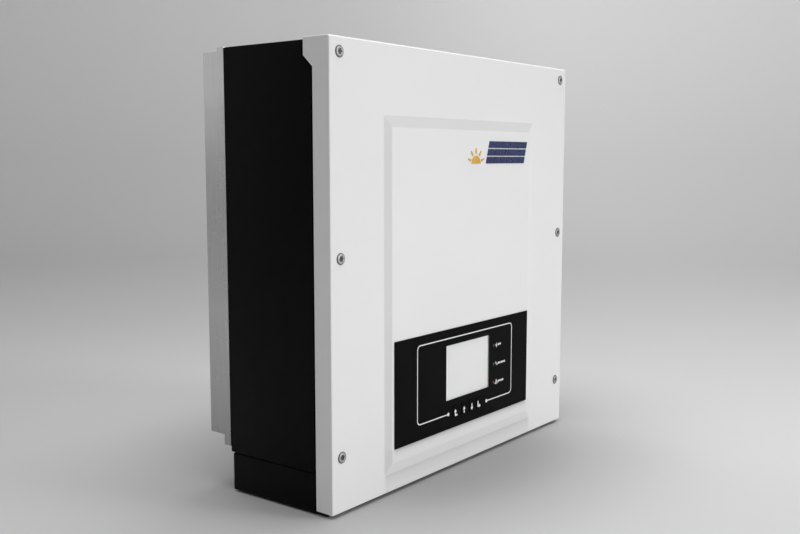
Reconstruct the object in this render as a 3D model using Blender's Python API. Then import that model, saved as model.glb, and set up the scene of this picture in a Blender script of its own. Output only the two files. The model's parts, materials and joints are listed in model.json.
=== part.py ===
"""Wall-hung string inverter: a steel front cover over a black housing on a finned heat sink.

Metres, +Z up. The origin is on the floor under the middle of the object, +X is to the right
seen from the front, and +Y runs from the front to the wall. Every piece hangs on an empty
that lies in the plane of the cover's front face, so y below counts back from that face.
"""

import math

import bmesh
import bpy
from mathutils import Matrix, Vector

# Driving dimensions
GAP = 0.0003                # between pieces that touch
FRONT_FACE_Y = -0.0819      # the cover's front face in the world

COVER_WIDTH = 0.437
COVER_HEIGHT = 0.440
COVER_BOTTOM = 0.002        # the skirt shows below the cover
SHEET = 0.0015
FLANGE_DEPTH = 0.020
HOOD_DEPTH = 0.0312
HOOD_SIDE_DROP = 0.0166     # where the hood's slanted side edge starts
HOOD_SLANT_DROP = 0.0272    # and where it meets the side flange

BOSS_HALF_WIDTH = 0.141
BOSS_BOTTOM = 0.0195
BOSS_TOP = 0.374
BOSS_SLOPE = 0.011
BOSS_RAISE = 0.0015

HOUSING_HALF_WIDTH = 0.2181
HOUSING_FRONT = 0.0048
HOUSING_BACK = 0.1365
BACK_WALL = HOUSING_BACK - 0.0035
HOUSING_BOTTOM = 0.0387
HOUSING_TOP = 0.4396
HOUSING_WALL = 0.0031
JOGGLE_HALF_WIDTH = 0.2166  # the black shells step in under the cover's flanges
JOGGLE_CLEAR = 0.0022

SKIRT_BACK = 0.1337
SKIRT_TOP = HOUSING_BOTTOM - GAP
SKIRT_WALL = 0.0025
SKIRT_LIP = 0.010

SINK_HALF_WIDTH = 0.218
SINK_FRONT = HOUSING_BACK + GAP
SINK_PLATE_BACK = 0.1461
FIN_BACK = 0.1668
FIN_COUNT = 43
FIN_THICKNESS = 0.0026
SINK_BOTTOM = 0.0445
SINK_TOP = 0.440
FIN_BOTTOM = 0.055
FIN_TOP = 0.436

HANGER_X = 0.130
HANGER_HALF_WIDTH = 0.030
HANGER_BOTTOM = 0.365
HANGER_TOP = 0.408
HANGER_BACK = 0.1636
HANGER_SHEET = 0.0025
HANGER_LIP_BOTTOM = 0.390

COVER_SCREW_X = 0.2045
COVER_SCREW_HEIGHTS = (0.0553, 0.2417, 0.428)
SCREW_SHANK = 0.0022        # radius
SCREW_HOLE = 0.0026

OVERLAY_X = (-0.1272, 0.1290)
OVERLAY_CORNER = 0.0006
OVERLAY_BOTTOM = 0.0444
OVERLAY_TOP = 0.1531
OVERLAY_BACK = -BOSS_RAISE - GAP
OVERLAY_THICKNESS = 0.0006
OVERLAY_FRONT = OVERLAY_BACK - OVERLAY_THICKNESS

LCD_X = (-0.0384, 0.0455)
LCD_Z = (0.0759, 0.1355)
KEY_XS = (-0.0202, -0.0042, 0.0111, 0.0253)
KEY_NAMES = ("key_back", "key_up", "key_down", "key_enter")
KEY_Z = 0.0612
KEY_HALF = (0.0055, 0.0070)
KEY_PROUD = 0.0006
LED_X = 0.0551
LED_ZS = {"led_earth": 0.1222, "led_normal": 0.1004, "led_alarm": 0.0793}

MAIN_BOARD_Y = 0.112
CONTROL_BOARD_Y = 0.026
BOARD_THICKNESS = 0.0016

PORT_Y = 0.075              # the row of connectors in the cable bay
FLOOR_INSIDE = HOUSING_BOTTOM + 0.003
SWITCH_X = -0.150
DC_PORT_XS = {"dc_port_pos_1": -0.100, "dc_port_neg_1": -0.070,
              "dc_port_pos_2": -0.040, "dc_port_neg_2": -0.010}
COMMS_X = 0.035
AC_X = 0.090
VENT_X = 0.140
EARTH_X = 0.175
TUBE_STEPS = 4

for old in list(bpy.data.objects):
    bpy.data.objects.remove(old, do_unlink=True)

FRAME = bpy.data.objects.new("inverter", None)
FRAME.location = (0.0, FRONT_FACE_Y, 0.0)
bpy.context.collection.objects.link(FRAME)


# Materials

def material(name, colour, roughness, metallic=0.0):
    made = bpy.data.materials.new(name)
    made.use_nodes = True
    shader = made.node_tree.nodes["Principled BSDF"]
    shader.inputs["Base Color"].default_value = (*colour, 1.0)
    shader.inputs["Roughness"].default_value = roughness
    shader.inputs["Metallic"].default_value = metallic
    return made


WHITE_PAINT = material("white_paint", (0.78, 0.78, 0.78), 0.45)
BLACK_PAINT = material("black_paint", (0.012, 0.012, 0.013), 0.5)
BARE_ALUMINIUM = material("bare_aluminium", (0.55, 0.55, 0.56), 0.4, 1.0)
STEEL = material("steel", (0.5, 0.5, 0.5), 0.35, 1.0)
COPPER = material("copper", (0.6, 0.27, 0.12), 0.35, 1.0)
RUBBER = material("rubber", (0.02, 0.02, 0.02), 0.8)
GLOSS_BLACK = material("gloss_black", (0.012, 0.012, 0.012), 0.2)
CLEAR = material("clear", (0.8, 0.82, 0.82), 0.08)
LCD_GREY = material("lcd_grey", (0.7, 0.72, 0.7), 0.4)
BOARD_GREEN = material("board_green", (0.02, 0.16, 0.07), 0.45)
BLACK_PLASTIC = material("black_plastic", (0.015, 0.015, 0.015), 0.45)
GREEN_LENS = material("green_lens", (0.02, 0.3, 0.05), 0.3)
RED_LENS = material("red_lens", (0.5, 0.02, 0.02), 0.3)


# Shapes

def add_box(bm, low, high):
    low, high = Vector(low), Vector(high)
    made = bmesh.ops.create_cube(bm, size=1.0)
    place = Matrix.Translation((low + high) / 2) @ Matrix.Diagonal((*(high - low), 1.0))
    bmesh.ops.transform(bm, matrix=place, verts=made["verts"])


def add_rod(bm, centre, radius, length, axis="Y", steps=12):
    """A cylinder round a centre point, along an axis."""
    turn = {"X": Matrix.Rotation(math.pi / 2, 4, "Y"), "Y": Matrix.Rotation(-math.pi / 2, 4, "X"),
            "Z": Matrix.Identity(4)}[axis]
    bmesh.ops.create_cone(bm, cap_ends=True, segments=steps, radius1=radius, radius2=radius,
                          depth=length, matrix=Matrix.Translation(centre) @ turn)


def add_loft(bm, sections):
    """A closed body through outlines of equal point count, capped at both ends."""
    rings = [[bm.verts.new(point) for point in section] for section in sections]
    count = len(rings[0])
    for ring, following in zip(rings, rings[1:]):
        for i in range(count):
            j = (i + 1) % count
            bm.faces.new((ring[i], ring[j], following[j], following[i]))
    bm.faces.new(reversed(rings[0]))
    bm.faces.new(rings[-1])


def add_prism(bm, outline, axis, low, high):
    """Extrudes a flat outline, given in the other two axes' order, along an axis."""
    place = {"X": lambda p, t: (t, p[0], p[1]), "Y": lambda p, t: (p[0], t, p[1]),
             "Z": lambda p, t: (p[0], p[1], t)}[axis]
    add_loft(bm, [[place(point, level) for point in outline] for level in (low, high)])


def add_turned(bm, centre, profile, axis="Z", steps=16):
    """Turns (radius, height) points that start and end on the axis into a closed body."""
    rings = []
    for radius, height in profile:
        count = steps if radius > 0 else 1
        angles = [2 * math.pi * i / count for i in range(count)]
        points = [(radius * math.cos(a), radius * math.sin(a), height) for a in angles]
        if axis == "Y":
            points = [(x, z, -y) for x, y, z in points]
        rings.append([bm.verts.new(Vector(centre) + Vector(point)) for point in points])
    for ring, following in zip(rings, rings[1:]):
        for i in range(steps):
            j = (i + 1) % steps
            corners = [ring[i % len(ring)], ring[j % len(ring)],
                       following[j % len(following)], following[i % len(following)]]
            bm.faces.new(list(dict.fromkeys(corners)))


def add_ring(bm, centre, outer, inner, length, axis="Y", steps=20):
    """A short tube round a centre point."""
    half = length / 2
    corners = ((inner, -half), (outer, -half), (outer, half), (inner, half))
    rings = []
    for radius, height in corners:
        points = []
        for i in range(steps):
            a = 2 * math.pi * i / steps
            x, y = radius * math.cos(a), radius * math.sin(a)
            points.append((x, height, -y) if axis == "Y" else (x, y, height))
        rings.append([bm.verts.new(Vector(centre) + Vector(point)) for point in points])
    for ring, following in zip(rings, rings[1:] + rings[:1]):
        for i in range(steps):
            j = (i + 1) % steps
            bm.faces.new((ring[i], ring[j], following[j], following[i]))


def rounded(x_low, x_high, z_low, z_high, radius, steps=4):
    """A rounded rectangle's outline."""
    outline = []
    for cx, cz, start in ((x_high - radius, z_high - radius, 0), (x_low + radius, z_high - radius, 90),
                          (x_low + radius, z_low + radius, 180), (x_high - radius, z_low + radius, 270)):
        for i in range(steps + 1):
            a = math.radians(start + 90 * i / steps)
            outline.append((cx + radius * math.cos(a), cz + radius * math.sin(a)))
    return outline


def piece(name, finish, *shapes, origin=(0.0, 0.0, 0.0)):
    """One object made of shapes, each a function and its arguments."""
    bm = bmesh.new()
    for function, *arguments in shapes:
        function(bm, *arguments)
    bmesh.ops.translate(bm, verts=bm.verts, vec=-Vector(origin))
    bmesh.ops.recalc_face_normals(bm, faces=bm.faces)
    mesh = bpy.data.meshes.new(name)
    bm.to_mesh(mesh)
    bm.free()
    made = bpy.data.objects.new(name, mesh)
    made.location = origin
    made.parent = FRAME
    if finish:
        mesh.materials.append(finish)
    mesh.shade_smooth()
    mesh.set_sharp_from_angle(angle=math.radians(35))
    bpy.context.collection.objects.link(made)
    return made


def boolean(target, operation, *shapes):
    """Cuts shapes out of a piece, or joins them to it."""
    guide = piece(target.name + "_" + operation.lower(), None, *shapes, origin=target.location)
    guide.hide_render = True
    guide.display_type = "WIRE"
    step = target.modifiers.new(operation.lower(), "BOOLEAN")
    step.operation = operation
    step.object = guide


def cut(target, *shapes):
    boolean(target, "DIFFERENCE", *shapes)


def join(target, *shapes):
    for shape in shapes:
        boolean(target, "UNION", shape)


def bevel(target, width, segments=2):
    step = target.modifiers.new("bevel", "BEVEL")
    step.width = width
    step.segments = segments
    step.limit_method = "ANGLE"
    step.angle_limit = math.radians(30)


def boss_sections(shift, reach):
    """The front boss as two rectangles: its foot, reach behind the slope's start, and its face."""
    foot = (BOSS_HALF_WIDTH, BOSS_BOTTOM, BOSS_TOP, shift)
    deep = (BOSS_HALF_WIDTH, BOSS_BOTTOM, BOSS_TOP, shift + reach)
    face = (BOSS_HALF_WIDTH - BOSS_SLOPE, BOSS_BOTTOM + BOSS_SLOPE, BOSS_TOP - BOSS_SLOPE, shift - BOSS_RAISE)
    return [[(-half, y, low), (half, y, low), (half, y, high), (-half, y, high)]
            for half, low, high, y in (deep, foot, face)]


def flange_edge(clear):
    """The cover's side edge in (y, z), moved out by clear, closed far in front and above."""
    top = COVER_BOTTOM + COVER_HEIGHT
    return [(-0.02, -0.02), (FLANGE_DEPTH + clear, -0.02),
            (FLANGE_DEPTH + clear, top - HOOD_SLANT_DROP - 0.4 * clear),
            (HOOD_DEPTH + clear, top - HOOD_SIDE_DROP - 0.4 * clear),
            (HOOD_DEPTH + clear, top + 0.02), (-0.02, top + 0.02)]


# Shells

def front_cover():
    top = COVER_BOTTOM + COVER_HEIGHT
    half = COVER_WIDTH / 2
    side = [(0.0, COVER_BOTTOM), (FLANGE_DEPTH, COVER_BOTTOM), (FLANGE_DEPTH, top - HOOD_SLANT_DROP),
            (HOOD_DEPTH, top - HOOD_SIDE_DROP), (HOOD_DEPTH, top), (0.0, top)]
    cover = piece("front_cover", WHITE_PAINT, (add_prism, side, "X", -half, half))
    bevel(cover, 0.0012, 2)
    cut(cover, (add_box, (-half + SHEET, SHEET, -0.01), (half - SHEET, 0.05, top - SHEET)))
    join(cover, (add_loft, boss_sections(0.0, 0.0006)))
    cut(cover, (add_loft, boss_sections(SHEET, 0.001)))
    cut(cover, (add_box, (-0.050, -0.01, 0.050), (0.066, 0.01, 0.146)))
    cut(cover, *[(add_rod, (side * COVER_SCREW_X, 0.0, z), 0.0028, 0.02)
                 for side in (-1, 1) for z in COVER_SCREW_HEIGHTS])


def cover_gasket():
    gasket = piece("cover_gasket", RUBBER, (add_box, (-0.1975, SHEET + GAP, 0.044),
                                            (0.1975, HOUSING_FRONT - GAP, 0.419)))
    cut(gasket, (add_box, (-0.1915, -0.01, 0.050), (0.1915, 0.01, 0.413)))
    join(gasket, (add_box, (-0.127, GAP, 0.044), (0.127, SHEET + 2 * GAP, 0.050)))


def joggle():
    """The steps that both black shells take under the cover's side flanges."""
    outline = flange_edge(JOGGLE_CLEAR)
    return [(add_prism, outline, "X", JOGGLE_HALF_WIDTH, 0.23),
            (add_prism, outline, "X", -0.23, -JOGGLE_HALF_WIDTH)]


def housing():
    body = piece("housing", BLACK_PAINT, (add_box, (-HOUSING_HALF_WIDTH, HOUSING_FRONT, HOUSING_BOTTOM),
                                          (HOUSING_HALF_WIDTH, HOUSING_BACK, HOUSING_TOP)))
    bevel(body, 0.0012)
    cut(body, (add_box, (-0.2150, 0.0073, FLOOR_INSIDE), (0.2150, BACK_WALL, HOUSING_TOP - 0.0025)))
    cut(body, (add_box, (-0.188, -0.01, 0.053), (0.188, 0.05, 0.410)))
    cut(body, (add_box, (-0.172, 0.10, 0.078), (0.172, 0.15, 0.407)))
    cut(body, *joggle())
    groove_depth = 0.0018
    for low, high in (((-0.187, 0.063), (-0.181, 0.422)), ((0.181, 0.063), (0.187, 0.422)),
                      ((-0.187, 0.063), (0.187, 0.069)), ((-0.187, 0.416), (0.187, 0.422))):
        cut(body, (add_box, (low[0], HOUSING_BACK - groove_depth, low[1]), (high[0], 0.15, high[1])))
    cut(body, *[(add_rod, (side * COVER_SCREW_X, 0.006, z), SCREW_HOLE, 0.01)
                for side in (-1, 1) for z in COVER_SCREW_HEIGHTS])
    cut(body, *[(add_rod, (x, HOUSING_BACK, z), SCREW_HOLE, 0.01) for x, z in sink_screw_places()])
    ports = [(add_rod, (x, PORT_Y, 0.04), 0.0063, 0.02, "Z") for x in DC_PORT_XS.values()]
    ports += [(add_rod, (x, PORT_Y, 0.04), radius, 0.02, "Z", 20)
              for x, radius in ((COMMS_X, 0.0093), (AC_X, 0.0138), (VENT_X, 0.0058), (EARTH_X, SCREW_HOLE),
                                (SWITCH_X, 0.0050))]
    cut(body, *ports)


def skirt():
    shell = piece("skirt", BLACK_PAINT, (add_box, (-HOUSING_HALF_WIDTH, HOUSING_FRONT, 0.0),
                                         (HOUSING_HALF_WIDTH, SKIRT_BACK, SKIRT_TOP)))
    bevel(shell, 0.0015, 2)
    inside = HOUSING_HALF_WIDTH - 0.0031
    cut(shell, (add_box, (-inside, HOUSING_FRONT + SKIRT_WALL, -0.01),
                (inside, SKIRT_BACK - SKIRT_WALL, SKIRT_TOP - SKIRT_WALL)))
    cut(shell, (add_box, (-inside + SKIRT_LIP, HOUSING_FRONT + SKIRT_LIP, 0.0),
                (inside - SKIRT_LIP, SKIRT_BACK - SKIRT_LIP, 0.05)))
    cut(shell, *joggle())


def heat_sink():
    pitch = (2 * SINK_HALF_WIDTH - FIN_THICKNESS) / (FIN_COUNT - 1)
    comb = [(SINK_HALF_WIDTH, SINK_FRONT), (-SINK_HALF_WIDTH, SINK_FRONT)]
    for fin in range(FIN_COUNT):
        left = -SINK_HALF_WIDTH + fin * pitch
        right = left + FIN_THICKNESS
        if fin > 0:
            comb.append((left, SINK_PLATE_BACK))
        comb += [(left, FIN_BACK), (right, FIN_BACK)]
        if fin < FIN_COUNT - 1:
            comb.append((right, SINK_PLATE_BACK))
    sink = piece("heat_sink", BARE_ALUMINIUM, (add_prism, comb, "Z", SINK_BOTTOM, SINK_TOP))
    cut(sink, (add_box, (-0.3, SINK_PLATE_BACK, 0.0), (0.3, 0.3, FIN_BOTTOM)),
        (add_box, (-0.3, SINK_PLATE_BACK, FIN_TOP), (0.3, 0.3, 0.5)))
    pocket = HANGER_HALF_WIDTH + 0.006
    for x in (-HANGER_X, HANGER_X):
        cut(sink, (add_box, (x - pocket, SINK_PLATE_BACK, HANGER_BOTTOM - 0.008),
                   (x + pocket, 0.3, HANGER_TOP + 0.008)))
    cut(sink, *[(add_rod, (x, SINK_PLATE_BACK - 0.0005, z), SCREW_HOLE, 0.009) for x, z in hanger_screw_places()],
        *[(add_rod, (x, SINK_FRONT + 0.0008, z), SCREW_HOLE, 0.014) for x, z in sink_screw_places()])


def heat_sink_seal():
    back = HOUSING_BACK
    seal = piece("heat_sink_seal", RUBBER, (add_box, (-0.1867, back - 0.0015, 0.0633), (0.1867, back, 0.4217)))
    cut(seal, (add_box, (-0.1813, 0.1, 0.0687), (0.1813, 0.2, 0.4163)))


def hanger(name, x):
    """A hook of folded steel, open downwards, that drops over the wall bracket."""
    front = SINK_PLATE_BACK + GAP
    sheet = HANGER_SHEET
    side = [(front, HANGER_BOTTOM), (front + sheet, HANGER_BOTTOM), (front + sheet, HANGER_TOP - sheet),
            (HANGER_BACK - sheet, HANGER_TOP - sheet), (HANGER_BACK - sheet, HANGER_LIP_BOTTOM),
            (HANGER_BACK, HANGER_LIP_BOTTOM), (HANGER_BACK, HANGER_TOP), (front, HANGER_TOP)]
    hook = piece(name, STEEL, (add_prism, side, "X", x - HANGER_HALF_WIDTH, x + HANGER_HALF_WIDTH))
    cut(hook, *[(add_rod, (sx, front + sheet / 2, sz), SCREW_HOLE, 0.006)
                for sx, sz in hanger_screw_places() if abs(sx - x) < HANGER_HALF_WIDTH])


# Fasteners

def sink_screw_places():
    return [(x, z) for z in (0.0715, 0.4125) for x in (-0.1765, 0.1765)]


def hanger_screw_places():
    return [(centre + step, 0.376) for centre in (-HANGER_X, HANGER_X) for step in (-0.018, 0.018)]


def screw_profile(head_radius, head_height, shank_radius, length):
    """A button-head screw from its shank's tip to its face, heights counted from under its head."""
    recess = 0.45 * head_radius
    return [(0.0, -length), (shank_radius, -length), (shank_radius, 0.0), (head_radius, 0.0),
            (head_radius, 0.25 * head_height), (0.66 * head_radius, head_height),
            (recess, head_height), (recess, 0.5 * head_height), (0.0, 0.5 * head_height)]


def cover_screws():
    number = 1
    outward = [(r, -h) for r, h in screw_profile(0.0055, 0.0021, SCREW_SHANK, 0.0095)]
    for side in (-1, 1):
        for z in COVER_SCREW_HEIGHTS:
            place = (side * COVER_SCREW_X, -GAP, z)
            piece(f"cover_screw_{number}", STEEL, (add_turned, place, outward, "Y"), origin=place)
            number += 1


def sink_screws():
    for number, (x, z) in enumerate(sink_screw_places(), 1):
        place = (x, BACK_WALL - GAP, z)
        profile = [(r, -h) for r, h in screw_profile(0.0045, 0.0025, SCREW_SHANK, 0.0105)]
        piece(f"heat_sink_screw_{number}", STEEL, (add_turned, place, profile, "Y", 12), origin=place)


def hanger_screws():
    for number, (x, z) in enumerate(hanger_screw_places(), 1):
        place = (x, SINK_PLATE_BACK + HANGER_SHEET + 2 * GAP, z)
        profile = screw_profile(0.0045, 0.0022, SCREW_SHANK, 0.0068)
        piece(f"hanger_screw_{number}", STEEL, (add_turned, place, profile, "Y", 12), origin=place)


# Display and keys

def display():
    outline = rounded(*OVERLAY_X, OVERLAY_BOTTOM, OVERLAY_TOP, OVERLAY_CORNER)
    overlay = piece("display_overlay", GLOSS_BLACK, (add_prism, outline, "Y", OVERLAY_FRONT, OVERLAY_BACK))
    cut(overlay, (add_box, (LCD_X[0], -0.01, LCD_Z[0]), (LCD_X[1], 0.01, LCD_Z[1])))
    half_x, half_z = (half + GAP for half in KEY_HALF)
    cut(overlay, *[(add_prism, rounded(x - half_x, x + half_x, KEY_Z - half_z, KEY_Z + half_z, 0.0018, 3),
                    "Y", -0.01, 0.01) for x in KEY_XS],
        *[(add_box, (LED_X - 0.0013, -0.01, z - 0.0018), (LED_X + 0.0013, 0.01, z + 0.0018))
          for z in LED_ZS.values()])

    piece("lcd_window", CLEAR, (add_box, (LCD_X[0] + GAP, OVERLAY_FRONT, LCD_Z[0] + GAP),
                                (LCD_X[1] - GAP, OVERLAY_FRONT + 0.0010, LCD_Z[1] - GAP)))
    panel = piece("lcd_panel", LCD_GREY, (add_box, (LCD_X[0] - 0.005, -0.0009, LCD_Z[0] - 0.0030),
                                          (LCD_X[1] + 0.0045, 0.0055, LCD_Z[1] + 0.004)))
    bevel(panel, 0.0004, 1)

    board = piece("display_board", BOARD_GREEN, (add_box, (-0.062, 0.0080, 0.0555), (0.078, 0.0096, 0.147)))
    join(board, (add_box, (-0.030, 0.0095, 0.088), (-0.008, 0.0115, 0.110)),
         (add_box, (0.020, 0.0095, 0.120), (0.050, 0.0145, 0.128)),
         *[(add_box, (x - 0.003, 0.0072, KEY_Z - 0.003), (x + 0.003, 0.0081, KEY_Z + 0.003)) for x in KEY_XS])


def keys():
    for name, x in zip(KEY_NAMES, KEY_XS):
        half_x, half_z = KEY_HALF
        face = OVERLAY_FRONT - KEY_PROUD
        outline = rounded(x - half_x, x + half_x, KEY_Z - half_z, KEY_Z + half_z, 0.0015, 3)
        cap = piece(name, BLACK_PLASTIC, (add_prism, outline, "Y", face, -0.0008),
                    origin=(x, face, KEY_Z))
        join(cap, (add_box, (x - half_x - 0.001, -0.0012, KEY_Z - half_z - 0.001),
                   (x + half_x + 0.001, -0.0002, KEY_Z + half_z + 0.001)),
             (add_rod, (x, 0.0029, KEY_Z), 0.002, 0.0066))


def leds():
    finishes = {"led_earth": GREEN_LENS, "led_normal": GREEN_LENS, "led_alarm": RED_LENS}
    for name, z in LED_ZS.items():
        piece(name, finishes[name], (add_box, (LED_X - 0.001, OVERLAY_FRONT - 0.0002, z - 0.0015),
                                     (LED_X + 0.001, 0.0077, z + 0.0015)))


# Electronics inside the housing

def boards():
    back = MAIN_BOARD_Y + BOARD_THICKNESS
    wall = BACK_WALL - GAP
    board = piece("main_board", BOARD_GREEN, (add_box, (-0.196, MAIN_BOARD_Y, 0.095), (0.196, back, 0.425)))
    join(board, *[(add_rod, (x, (back + wall) / 2 - 0.0002, z), 0.004, wall - back + 0.0004)
                  for x in (-0.189, 0.189) for z in (0.104, 0.418)],
         (add_box, (0.040, MAIN_BOARD_Y - 0.012, 0.100), (0.110, MAIN_BOARD_Y + 0.0005, 0.112)),
         (add_box, (-0.110, MAIN_BOARD_Y - 0.012, 0.100), (-0.050, MAIN_BOARD_Y + 0.0005, 0.112)))

    front = CONTROL_BOARD_Y
    back = front + BOARD_THICKNESS
    board = piece("control_board", BOARD_GREEN, (add_box, (-0.080, front, 0.240), (0.080, back, 0.400)))
    join(board, *[(add_rod, (x, (back + MAIN_BOARD_Y) / 2 - 0.0004, z), 0.003, MAIN_BOARD_Y - back)
                  for x in (-0.074, 0.074) for z in (0.246, 0.394)],
         (add_box, (-0.020, front - 0.002, 0.310), (0.004, front + 0.0005, 0.334)),
         (add_box, (0.030, front - 0.009, 0.246), (0.066, front + 0.0005, 0.256)),
         (add_box, (-0.060, front - 0.011, 0.360), (-0.030, front + 0.0005, 0.380)))


def inductor(name, x, z, outer, inner, height):
    """A wound ring core lying against the main board, with a rounded winding."""
    centre = (x, MAIN_BOARD_Y - GAP - height / 2, z)
    ring = piece(name, COPPER, (add_ring, centre, outer, inner, height), origin=centre)
    bevel(ring, 0.18 * height, 1)


def capacitor(name, x, z):
    place = (x, MAIN_BOARD_Y - GAP, z)
    profile = [(0.0, 0.0), (0.0175, 0.0), (0.0175, -0.049), (0.0165, -0.050), (0.0, -0.050)]
    piece(name, BLACK_PLASTIC, (add_turned, place, profile, "Y"), origin=place)


def power_module(name, x):
    """A flat module pressed on the heat sink, its pins in the main board."""
    low, high = 0.119, SINK_FRONT - GAP
    body = piece(name, BLACK_PLASTIC, (add_box, (x - 0.050, low, 0.220), (x + 0.050, high, 0.275)))
    join(body, *[(add_box, (x - 0.045, MAIN_BOARD_Y + BOARD_THICKNESS + GAP, z - 0.0006),
                  (x + 0.045, low + 0.0005, z + 0.0006)) for z in (0.226, 0.269)])


def relay(name, x):
    case = piece(name, BLACK_PLASTIC, (add_box, (x - 0.011, MAIN_BOARD_Y - 0.026, 0.130),
                                       (x + 0.011, MAIN_BOARD_Y - GAP, 0.160)))
    bevel(case, 0.001, 1)


def electronics():
    boards()
    for number, z in enumerate((0.375, 0.290), 1):
        inductor(f"boost_inductor_{number}", -0.145, z, 0.038, 0.013, 0.036)
        inductor(f"filter_inductor_{number}", 0.145, z, 0.036, 0.012, 0.040)
    inductor("emi_choke_dc", -0.145, 0.215, 0.026, 0.010, 0.026)
    inductor("emi_choke_ac", 0.145, 0.215, 0.026, 0.010, 0.026)
    for number, x in enumerate((-0.048, 0.0, 0.048), 1):
        capacitor(f"dc_link_capacitor_{number}", x, 0.200)
    for number, x in enumerate((-0.065, 0.065), 1):
        power_module(f"power_module_{number}", x)
    for number, x in enumerate((0.125, 0.165), 1):
        relay(f"grid_relay_{number}", x)


def tube(name, finish, points, radius):
    """A cable inside the housing, along a smooth curve through its route's points."""
    route = [Vector(points[0]), *[Vector(p) for p in points], Vector(points[-1])]
    smooth = []
    for a, b, c, d in zip(route, route[1:], route[2:], route[3:]):
        for i in range(TUBE_STEPS):
            t = i / TUBE_STEPS
            smooth.append(0.5 * (2 * b + (c - a) * t + (2 * a - 5 * b + 4 * c - d) * t * t
                                 + (3 * b - a - 3 * c + d) * t ** 3))
    smooth.append(Vector(points[-1]))
    curve = bpy.data.curves.new(name, "CURVE")
    curve.dimensions = "3D"
    curve.bevel_depth = radius
    curve.bevel_resolution = 2
    curve.use_fill_caps = True
    spline = curve.splines.new("POLY")
    spline.points.add(len(smooth) - 1)
    for point, place in zip(spline.points, smooth):
        point.co = (*place, 1.0)
    curve.materials.append(finish)
    made = bpy.data.objects.new(name, curve)
    made.parent = FRAME
    bpy.context.collection.objects.link(made)


def cables():
    tube("ac_cable", BLACK_PLASTIC, [(AC_X, PORT_Y, 0.0480), (AC_X, PORT_Y, 0.058), (0.086, 0.078, 0.070),
                                     (0.078, 0.088, 0.084), (0.075, 0.0935, 0.096), (0.075, 0.0935, 0.106)], 0.0045)
    ribbon = [(0.0150, 0.124), (0.0165, 0.160), (0.0150, 0.200), (0.0120, 0.230), (0.0120, 0.251),
              (0.0128, 0.251), (0.0128, 0.230), (0.0158, 0.200), (0.0173, 0.160), (0.0158, 0.124)]
    piece("ribbon_cable", LCD_GREY, (add_prism, ribbon, "X", 0.036, 0.048))


# Cable bay

def dc_switch():
    """The isolator inside, and its knob with the shaft that turns in it."""
    body = piece("dc_switch_body", BLACK_PLASTIC, (add_box, (SWITCH_X - 0.025, PORT_Y - 0.025, FLOOR_INSIDE + GAP),
                                                   (SWITCH_X + 0.025, PORT_Y + 0.025, 0.088)))
    bevel(body, 0.002)
    cut(body, (add_rod, (SWITCH_X, PORT_Y, 0.050), 0.0045, 0.040, "Z", 20))

    place = (SWITCH_X, PORT_Y, HOUSING_BOTTOM)
    profile = [(0.0, 0.026), (0.0040, 0.026), (0.0040, -0.0006), (0.0205, -0.0006), (0.0205, -0.0070),
               (0.0195, -0.0080), (0.0, -0.0080)]
    knob = piece("dc_switch_knob", BLACK_PLASTIC, (add_turned, place, profile, "Z", 24), origin=place)
    grip_low, grip_high = HOUSING_BOTTOM - 0.027, HOUSING_BOTTOM - 0.0075
    grip = rounded(SWITCH_X - 0.0185, SWITCH_X + 0.0185, PORT_Y - 0.0052, PORT_Y + 0.0052, 0.004)
    join(knob, (add_prism, grip, "Z", grip_low, grip_high))


def port(name, x, finish, nut, thread, flange, barrel, length):
    """A panel receptacle: nut inside, thread in the floor, flange and barrel in the cable bay."""
    inside = FLOOR_INSIDE + GAP - HOUSING_BOTTOM
    profile = [(0.0, inside + 0.0045), (nut, inside + 0.0045), (nut, inside), (thread, inside), (thread, -GAP),
               (flange, -GAP), (flange, -0.0048), (barrel, -0.0048), (barrel, -length), (0.74 * barrel, -length),
               (0.74 * barrel, 0.003 - length), (0.28 * barrel, 0.003 - length),
               (0.28 * barrel, 0.0004 - length), (0.0, 0.0004 - length)]
    place = (x, PORT_Y, HOUSING_BOTTOM)
    piece(name, finish, (add_turned, place, profile), origin=place)


def cable_bay():
    for name, x in DC_PORT_XS.items():
        barrel = 0.0078 if "pos" in name else 0.0066
        port(name, x, BLACK_PLASTIC, 0.0090, 0.0060, 0.0098, barrel, 0.0280)
    port("comms_port", COMMS_X, BLACK_PLASTIC, 0.0125, 0.0090, 0.0130, 0.0105, 0.0240)
    port("ac_port", AC_X, BLACK_PLASTIC, 0.0190, 0.0135, 0.0225, 0.0170, 0.0290)

    place = (VENT_X, PORT_Y, HOUSING_BOTTOM)
    inside = FLOOR_INSIDE + GAP - HOUSING_BOTTOM
    vent = [(0.0, inside + 0.0035), (0.0085, inside + 0.0035), (0.0085, inside), (0.0055, inside), (0.0055, -GAP),
            (0.0090, -GAP), (0.0090, -0.0045), (0.0078, -0.0060), (0.0, -0.0060)]
    piece("vent_plug", BLACK_PLASTIC, (add_turned, place, vent), origin=place)

    place = (EARTH_X, PORT_Y, HOUSING_BOTTOM - GAP)
    screw = [(r, -h) for r, h in screw_profile(0.0048, 0.0035, SCREW_SHANK, 0.0075)]
    piece("earth_screw", STEEL, (add_turned, place, screw, "Z", 12), origin=place)


front_cover()
cover_gasket()
housing()
skirt()
heat_sink()
heat_sink_seal()
hanger("hanger_left", -HANGER_X)
hanger("hanger_right", HANGER_X)
cover_screws()
sink_screws()
hanger_screws()
display()
keys()
leds()
electronics()
cables()
dc_switch()
cable_bay()
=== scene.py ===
"""Looks of the string inverter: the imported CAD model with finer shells, prints and materials."""

import json
import math

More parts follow.
